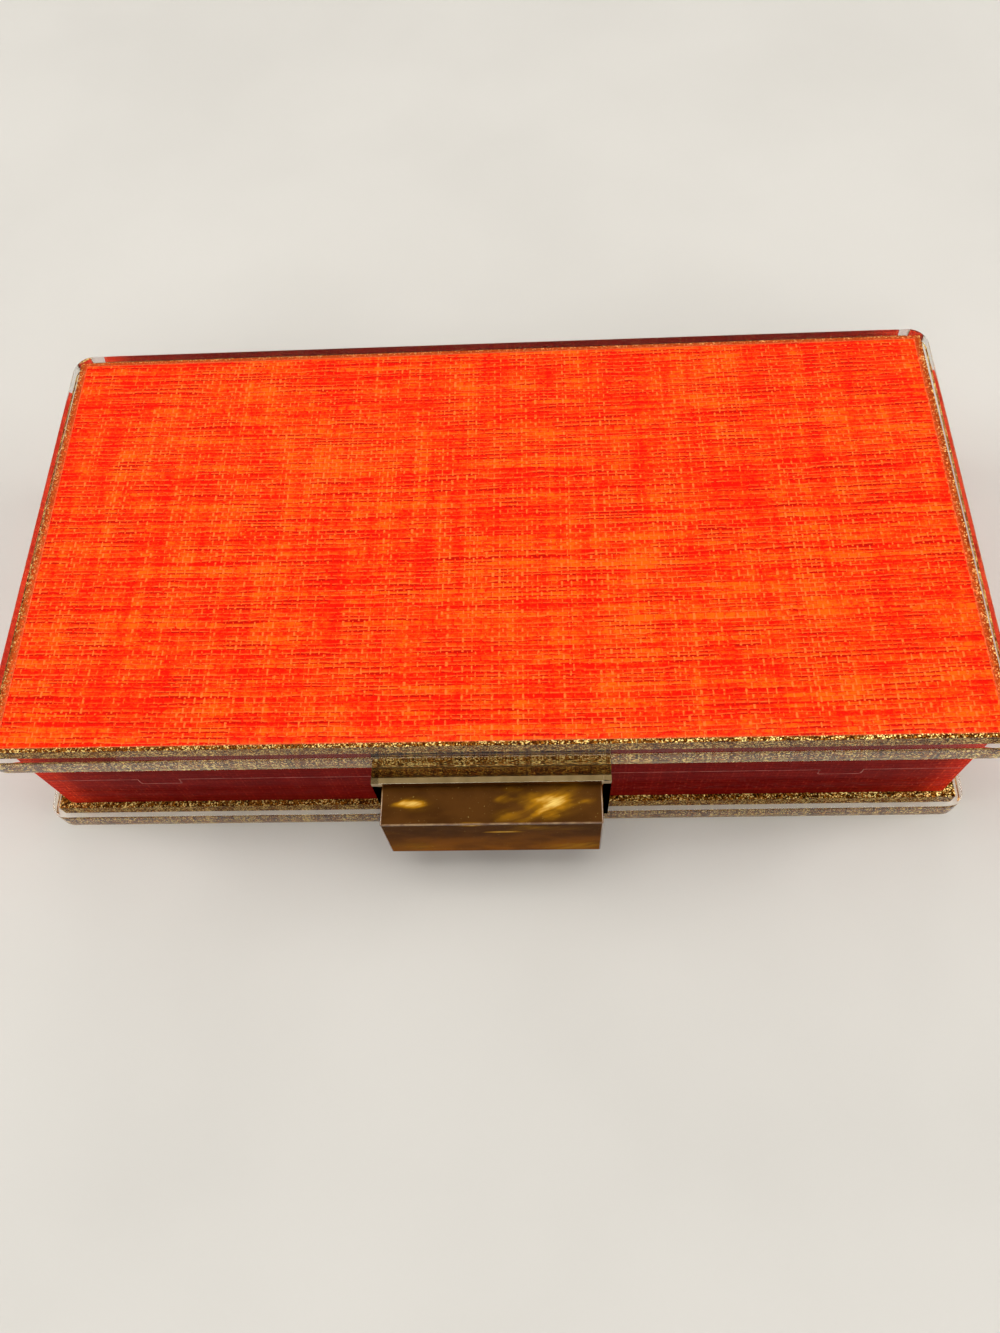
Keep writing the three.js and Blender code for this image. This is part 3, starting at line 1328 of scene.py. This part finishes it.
@dataclass
class Plate:
    """One of the two flat plates: a clear rim, a glitter core and a linen panel. Lengths are in metres."""

    half: str
    side: Side
    corner_radius: float
    finishes: Finishes
    arris: float = 0.5 * MM
    end_rim: float = 2.0 * MM
    long_rim: float = 2.6 * MM
    core_corner: float = 0.3 * MM
    bond: float = 0.25 * MM
    flush: float = 0.03 * MM
    panel_inset: float = 3.8 * MM
    panel_corner: float = 0.5 * MM
    pocket_fit: float = 0.04 * MM
    corner_steps: int = 10
    arris_steps: int = 3

    def __post_init__(self) -> None:
        """Read the plate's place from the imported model."""
        self.low, self.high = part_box(f"{self.half}_rim")
        panel_low, panel_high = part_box(f"{self.half}_linen")
        self.panel_thickness = panel_high.z - panel_low.z

    def build(self) -> None:
        """Model the plate's three pieces."""
        self._core()
        self._rim()
        self._panel()

    def _slab(self, name: str, insets: tuple[float, float], radius: float, low: float, high: float) -> Piece:
        """Make a flat slab with round upright corners.

        Args:
            name: The slab's name.
            insets: How far its ends and its long sides stand inside the plate's outline.
            radius: The radius of its corners.
            low: Its lower level.
            high: Its upper level.

        Returns:
            The slab.
        """
        end, side = insets
        slab = Piece(
            name, (self.low.x + end, self.low.y + side, low), (self.high.x - end, self.high.y - side, high)
        )
        return slab.bevel_edges(upright, radius, self.corner_steps)

    def _rim(self) -> None:
        """Model the clear rim. It reaches a little into the core, as if cast onto it."""
        low, high = self.low.z + self.flush, self.high.z - self.flush
        rim = self._slab(f"{self.half}_rim_clear", (0, 0), self.corner_radius, low, high)
        rim.bevel_edges(level, self.arris, self.arris_steps)
        insets = (self.end_rim + self.bond, self.long_rim + self.bond)
        middle = self._slab("middle", insets, self.core_corner, low - self.arris, high + self.arris)
        rim.combine(middle, "DIFFERENCE")
        rim.dress(self.finishes.clear).finish(self.half, "clear_acrylic", f"{self.half}_rim")

    def _core(self) -> None:
        """Model the glitter core with a pocket for the linen."""
        insets = (self.end_rim, self.long_rim)
        core = self._slab(f"{self.half}_core_glitter", insets, self.core_corner, self.low.z, self.high.z)
        fit = self.panel_inset - self.pocket_fit
        face = self.high.z if self.side is Side.UP else self.low.z
        levels = (face - self.panel_thickness, face + self.panel_thickness)
        core.combine(self._slab("pocket", (fit, fit), self.panel_corner, *levels), "DIFFERENCE")
        core.dress(self.finishes.glitter).finish(self.half, "glitter_acrylic", f"{self.half}_core")

    def _panel(self) -> None:
        """Model the linen panel, flush with the plate's outer face."""
        low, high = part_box(f"{self.half}_linen")
        clear = self.pocket_fit
        levels = (low.z + clear, high.z) if self.side is Side.UP else (low.z, high.z - clear)
        insets = (self.panel_inset, self.panel_inset)
        panel = self._slab(f"{self.half}_linen_panel", insets, self.panel_corner, *levels)
        panel.dress(self.finishes.panel_linen).finish(self.half, "red_linen", f"{self.half}_linen")


@dataclass
class Walls:
    """The linen walls of both halves, which meet at the parting line. Lengths are in metres."""

    finishes: Finishes
    corner_radius: float = 1.6 * MM
    thickness: float = 3.0 * MM
    seam: float = 0.06 * MM
    tab_width: float = 9.6 * MM
    tab_depth: float = 2.6 * MM
    tab_distance: float = 78.0 * MM
    tab_fit: float = 0.08 * MM
    tab_corner: float = 0.7 * MM
    arris: float = 0.09 * MM
    corner_steps: int = 8
    tab_steps: int = 5

    def __post_init__(self) -> None:
        """Read the walls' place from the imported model."""
        self.low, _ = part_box("base_wall")
        _, self.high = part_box("lid_wall")
        lid_plate_low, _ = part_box("lid_rim")
        self.high.z = lid_plate_low.z
        self.parting = (self.low.z + self.high.z) / 2

    def build(self) -> None:
        """Model both walls, with the lid's tabs in the base's notches."""
        lid_wall = self._ring("lid_wall_linen", self.parting + self.seam / 2, self.high.z)
        base_wall = self._ring("base_wall_linen", self.low.z, self.parting - self.seam / 2)
        for wall, grow, operation in ((lid_wall, 0.0, "UNION"), (base_wall, self.tab_fit, "DIFFERENCE")):
            left = self._tab(-self.tab_distance, grow)
            right = left.copy((2 * self.tab_distance, 0, 0))
            wall.combine(left, operation).combine(right, operation)
        for wall, body, node in ((lid_wall, "lid", "lid_wall"), (base_wall, "base", "base_wall")):
            wall.dress(self.finishes.wall_linen, self.finishes.cut_edge)
            wall.soften(self.arris, edge_slot=1)
            wall.finish(body, "wall_linen", node)

    def _ring(self, name: str, low: float, high: float) -> Piece:
        """Make a wall that runs right round.

        Args:
            name: The wall's name.
            low: Its foot.
            high: Its top.

        Returns:
            The wall.
        """
        ring = Piece(name, (self.low.x, self.low.y, low), (self.high.x, self.high.y, high))
        ring.bevel_edges(upright, self.corner_radius, self.corner_steps)
        hollow = Piece(
            "hollow",
            (self.low.x + self.thickness, self.low.y + self.thickness, low - self.thickness),
            (self.high.x - self.thickness, self.high.y - self.thickness, high + self.thickness),
        )
        hollow.bevel_edges(upright, self.corner_radius, self.corner_steps)
        return ring.combine(hollow, "DIFFERENCE")

    def _tab(self, centre: float, grow: float) -> Piece:
        """Make the block that a tab fills, or its notch.

        Args:
            centre: Its middle along X.
            grow: How much larger it is than the tab, on its sides and foot.

        Returns:
            The block.
        """
        half = self.tab_width / 2 + grow
        foot = self.parting - self.tab_depth - grow
        spare = grow * 2
        block = Piece(
            "tab",
            (centre - half, self.low.y - spare, foot),
            (centre + half, self.low.y + self.thickness + spare, self.parting + self.tab_depth),
        )

        def lower_corner(first: Vector, last: Vector) -> bool:
            """Say whether an edge is one of the block's two lower ones along Y."""
            return abs(first.y - last.y) > MM and max(first.z, last.z) < foot + TOUCH

        return block.bevel_edges(lower_corner, self.tab_corner, self.tab_steps)


@dataclass
class Hinge:
    """The long brass hinge on the rear walls. Lengths are in metres."""

    finishes: Finishes
    knuckles: int = 11
    gap: float = 0.25 * MM
    leaf_thickness: float = 0.8 * MM
    leaf_clearance: float = 0.3 * MM
    web_overlap: float = 0.1 * MM
    bore_clearance: float = 0.1 * MM
    leaf_arris: float = 0.15 * MM
    pin_arris: float = 0.12 * MM
    rivets: int = 6
    rivet_radius: float = 1.3 * MM
    rivet_height: float = 0.4 * MM
    rivet_sides: int = 32
    rivet_round: float = 0.36 * MM
    rivet_steps: int = 4

    def __post_init__(self) -> None:
        """Read the hinge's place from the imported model."""
        joint = next(joint for joint in FRAME["joints"] if joint["name"] == "lid_hinge")
        self.axis = Vector(joint["pos_m"])
        pin_low, pin_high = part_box("hinge_pin")
        self.half_length = pin_high.x
        self.pin_radius = (pin_high.z - pin_low.z) / 2
        _, leaf_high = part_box("hinge_lid_leaf")
        self.barrel_radius = leaf_high.y - self.axis.y

    def build(self) -> None:
        """Model both leaves and the pin."""
        self._leaf("lid", 1, 0)
        self._leaf("base", -1, 1)
        reach = Vector((self.half_length, 0, 0))
        pin = Piece.rod("hinge_pin_round", self.pin_radius, self.axis - reach, self.axis + reach)
        pin.soften(self.pin_arris).dress(self.finishes.brass).finish("base", "hinge_brass", "hinge_pin")

    def _leaf(self, half: str, side: int, first: int) -> None:
        """Model one leaf with its share of the knuckles.

        Args:
            half: lid or base.
            side: 1 for the upper leaf and -1 for the lower one.
            first: The first knuckle that belongs to it.
        """
        low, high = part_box(f"hinge_{half}_leaf")
        outer = high.z if side > 0 else low.z
        inner = self.axis.z + side * (self.barrel_radius + self.leaf_clearance)
        back = low.y + self.leaf_thickness
        leaf = Piece(
            f"hinge_{half}_leaf_brass",
            (-self.half_length, low.y, min(inner, outer)),
            (self.half_length, back, max(inner, outer)),
        )
        pitch = 2 * self.half_length / self.knuckles
        knuckle = self._knuckle(first * pitch, pitch, low.y, inner + side * self.web_overlap)
        self._repeat(leaf, knuckle, 2 * pitch, (self.knuckles + 1 - first) // 2)
        bore_reach = Vector((self.half_length + MM, 0, 0))
        bore = Piece.rod(
            "bore", self.pin_radius + self.bore_clearance, self.axis - bore_reach, self.axis + bore_reach
        )
        leaf.combine(bore, "DIFFERENCE")
        leaf.soften(self.leaf_arris)
        spacing = 2 * self.half_length / self.rivets
        rivet = self._rivet(Vector((-self.half_length + spacing / 2, back, (inner + outer) / 2)))
        self._repeat(leaf, rivet, spacing, self.rivets)
        leaf.dress(self.finishes.brass).finish(half, "hinge_brass", f"hinge_{half}_leaf")

    def _knuckle(self, distance: float, pitch: float, front: float, web_edge: float) -> Piece:
        """Model one knuckle: a barrel and the web that carries it.

        Args:
            distance: How far its space starts from the hinge's left end.
            pitch: The length of its space.
            front: The leaf's front face.
            web_edge: The level inside the leaf that the web reaches.

        Returns:
            The knuckle.
        """
        start = -self.half_length + distance + self.gap / 2
        end = start + pitch - self.gap
        web = Piece(
            "knuckle",
            (start, front, min(self.axis.z, web_edge)),
            (end, front + self.leaf_thickness, max(self.axis.z, web_edge)),
        )
        barrel = Piece.rod(
            "barrel",
            self.barrel_radius,
            Vector((start, self.axis.y, self.axis.z)),
            Vector((end, self.axis.y, self.axis.z)),
        )
        return web.combine(barrel, "UNION")

    def _rivet(self, foot: Vector) -> Piece:
        """Model one rivet's domed head.

        Args:
            foot: The middle of the head, on the leaf's back face.

        Returns:
            The rivet.
        """
        height = Vector((0, self.rivet_height, 0))
        rivet = Piece.rod("rivet", self.rivet_radius, foot - height, foot + height, self.rivet_sides)

        def around_top(first: Vector, last: Vector) -> bool:
            """Say whether an edge runs round the outer end."""
            return min(first.y, last.y) > foot.y

        return rivet.bevel_edges(around_top, self.rivet_round, self.rivet_steps)

    @staticmethod
    def _repeat(leaf: Piece, part: Piece, spacing: float, count: int) -> None:
        """Join a part and its copies on to a leaf, in a row along X.

        Args:
            leaf: The leaf.
            part: The first part of the row, which is used up.
            spacing: The distance from one to the next.
            count: How many there are.
        """
        for index in range(1, count):
            leaf.combine(part.copy((index * spacing, 0, 0)), "UNION")
        leaf.combine(part, "UNION")


@dataclass
class Clasp:
    """The metal frame on the lid and the resin bar that turns in it. Lengths are in metres."""

    finishes: Finishes
    ledge: float = 1.6 * MM
    cheek: float = 1.6 * MM
    cheek_front: float = 9.5 * MM
    cheek_foot: float = 1.2 * MM
    frame_arris: float = 0.42 * MM
    bar_arris: float = 0.35 * MM
    arris_steps: int = 3

    def build(self) -> None:
        """Model the frame and the bar, and dress the pieces that stay as they are."""
        self._frame()
        self._bar()
        for node in ("clasp_pin", "clasp_catch", "clasp_keeper"):
            dress_node(node, self.finishes.pale_gold)

    def _frame(self) -> None:
        """Model the ledge with a cheek at each end, whose front edge slopes back at its foot."""
        low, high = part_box("clasp_frame")
        frame = Piece("clasp_frame_polished", (low.x, low.y, high.z - self.ledge), high)
        cheek = Piece("cheek", low, (low.x + self.cheek, high.y, high.z))
        bend = Vector((0, low.y, high.z - self.cheek_front))
        run = Vector((0, high.y - self.cheek_foot, low.z)) - bend
        cheek.cut_off(bend, Vector((0, run.z, -run.y)))
        twin = cheek.copy((high.x - low.x - self.cheek, 0, 0))
        frame.combine(cheek, "UNION").combine(twin, "UNION")
        # The bevel faces take a much lighter gold, a painted highlight along the frame's arrises.
        frame.dress(self.finishes.pale_gold, self.finishes.gold_arris_highlight)
        frame.soften(self.frame_arris, self.arris_steps, edge_slot=1)
        frame.finish("lid", "pale_gold", "clasp_frame")

    def _bar(self) -> None:
        """Model the resin bar with softened arrises, which carry a painted highlight."""
        low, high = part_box("clasp_bar")
        bar = Piece("clasp_bar_resin", low, high)
        # The bevel faces take a lighter resin colour, a painted highlight.
        bar.dress(self.finishes.resin, self.finishes.resin_arris_highlight)
        bar.soften(self.bar_arris, self.arris_steps, edge_slot=1)
        bar.finish("clasp", "amber_resin", "clasp_bar")


def dress_node(node: str, material: bpy.types.Material) -> None:
    """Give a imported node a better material.

    Args:
        node: The node's name.
        material: Its new material.
    """
    thing = FRAME["nodes"][node]
    thing.data.materials.clear()
    thing.data.materials.append(material)
    LOG.info("%s: dressed", node)


@dataclass(frozen=True)
class Lamp:
    """A soft rectangular light that looks at the clutch, in metres and watts."""

    name: str
    place: tuple[float, float, float]
    size: tuple[float, float]
    power: float
    mirrored: bool = True

    def hang(self) -> None:
        """Hang the light. One that isn't mirrored stays out of polished faces."""
        data = bpy.data.lights.new(self.name, "AREA")
        data.shape = "RECTANGLE"
        data.size, data.size_y = self.size
        data.energy = self.power
        lamp = bpy.data.objects.new(self.name, data)
        lamp.location = self.place
        lamp.visible_glossy = self.mirrored
        lamp.rotation_euler = (-Vector(self.place)).to_track_quat("-Z", "Y").to_euler()
        bpy.context.scene.collection.objects.link(lamp)


@dataclass
class Studio:
    """The floor, the soft lights and the camera at the photograph's viewing angle."""

    eye: tuple[float, float, float] = (0.0128, -0.1372, 0.2411)
    pitch: float = math.radians(63.07)
    yaw: float = math.radians(-6.0)
    roll: float = math.radians(-6.47)
    focal_px: float = 1029.1
    frame_height_px: float = 1333.0
    sensor_mm: float = 36.0
    nearest: float = 0.01
    floor_size: float = 6.0
    surround: tuple[float, float, float, float] = (1.0, 0.97, 0.93, 1.0)
    surround_strength: float = 0.1
    lamps: tuple[Lamp, ...] = (
        Lamp("top", (0.0, -0.02, 1.3), (1.3, 0.5), 8.2, mirrored=False),
        Lamp("card", (0.0, 0.355, 1.3), (1.3, 0.21), 0.5),
        Lamp("left", (-1.3, 0.1, 0.75), (0.9, 0.7), 14.0),
        Lamp("right", (1.3, 0.1, 0.75), (0.9, 0.7), 14.0),
        Lamp("front", (0.0, -1.1, 0.9), (1.2, 0.5), 6.0),
        Lamp("back", (0.0, 1.5, 0.55), (1.2, 0.5), 9.0, mirrored=False),
    )

    def build(self) -> None:
        """Set up the whole studio."""
        self._floor()
        self._camera()
        for lamp in self.lamps:
            lamp.hang()
        world = bpy.data.worlds.new("soft_surround")
        bpy.context.scene.world = world
        world.use_nodes = True
        surround = world.node_tree.nodes["Background"]
        surround.inputs["Color"].default_value = self.surround
        surround.inputs["Strength"].default_value = self.surround_strength
        bpy.context.scene.view_settings.view_transform = "Standard"

    def _floor(self) -> None:
        """Lay a plain pale floor."""
        Piece.rest()
        bpy.ops.mesh.primitive_plane_add(size=self.floor_size, location=(0, 0, 0))
        floor = bpy.context.object
        floor.name = "floor"
        finish = FloorFinish("pale_floor", linear(200, 196, 188), linear(195, 191, 183))
        floor.data.materials.append(finish.material())

    def _camera(self) -> None:
        """Stand the camera where the photograph was taken from."""
        ahead = Vector(
            (
                math.sin(self.yaw) * math.cos(self.pitch),
                math.cos(self.yaw) * math.cos(self.pitch),
                -math.sin(self.pitch),
            )
        )
        aside = Vector((math.cos(self.yaw), -math.sin(self.yaw), 0))
        above = aside.cross(ahead)
        right = aside * math.cos(self.roll) + above * math.sin(self.roll)
        top = above * math.cos(self.roll) - aside * math.sin(self.roll)
        data = bpy.data.cameras.new("camera")
        data.sensor_width = self.sensor_mm
        data.lens = self.focal_px / self.frame_height_px * self.sensor_mm
        data.clip_start = self.nearest
        camera = bpy.data.objects.new("camera", data)
        turn = Matrix((right, top, -ahead)).transposed().to_4x4()
        camera.matrix_world = Matrix.Translation(self.eye) @ turn
        bpy.context.scene.collection.objects.link(camera)
        bpy.context.scene.camera = camera


def main() -> None:
    """Build the studio and the clutch, piece by piece."""
    logging.basicConfig(level=logging.INFO, format="%(name)s: %(message)s")
    Studio().build()
    finishes = Finishes.make()
    Plate("base", Side.DOWN, corner_radius=4.4 * MM, finishes=finishes).build()
    Plate("lid", Side.UP, corner_radius=4.9 * MM, finishes=finishes).build()
    Walls(finishes).build()
    Hinge(finishes).build()
    Clasp(finishes).build()


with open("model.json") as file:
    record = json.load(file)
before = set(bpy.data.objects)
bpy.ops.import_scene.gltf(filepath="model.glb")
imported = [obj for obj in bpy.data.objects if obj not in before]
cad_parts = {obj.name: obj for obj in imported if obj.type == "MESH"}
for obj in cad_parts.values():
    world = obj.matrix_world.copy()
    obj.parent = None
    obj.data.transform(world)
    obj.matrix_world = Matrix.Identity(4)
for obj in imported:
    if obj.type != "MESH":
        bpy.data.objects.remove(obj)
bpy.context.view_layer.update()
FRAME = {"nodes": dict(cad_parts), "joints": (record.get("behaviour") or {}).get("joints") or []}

if __name__ == "__main__":
    main()
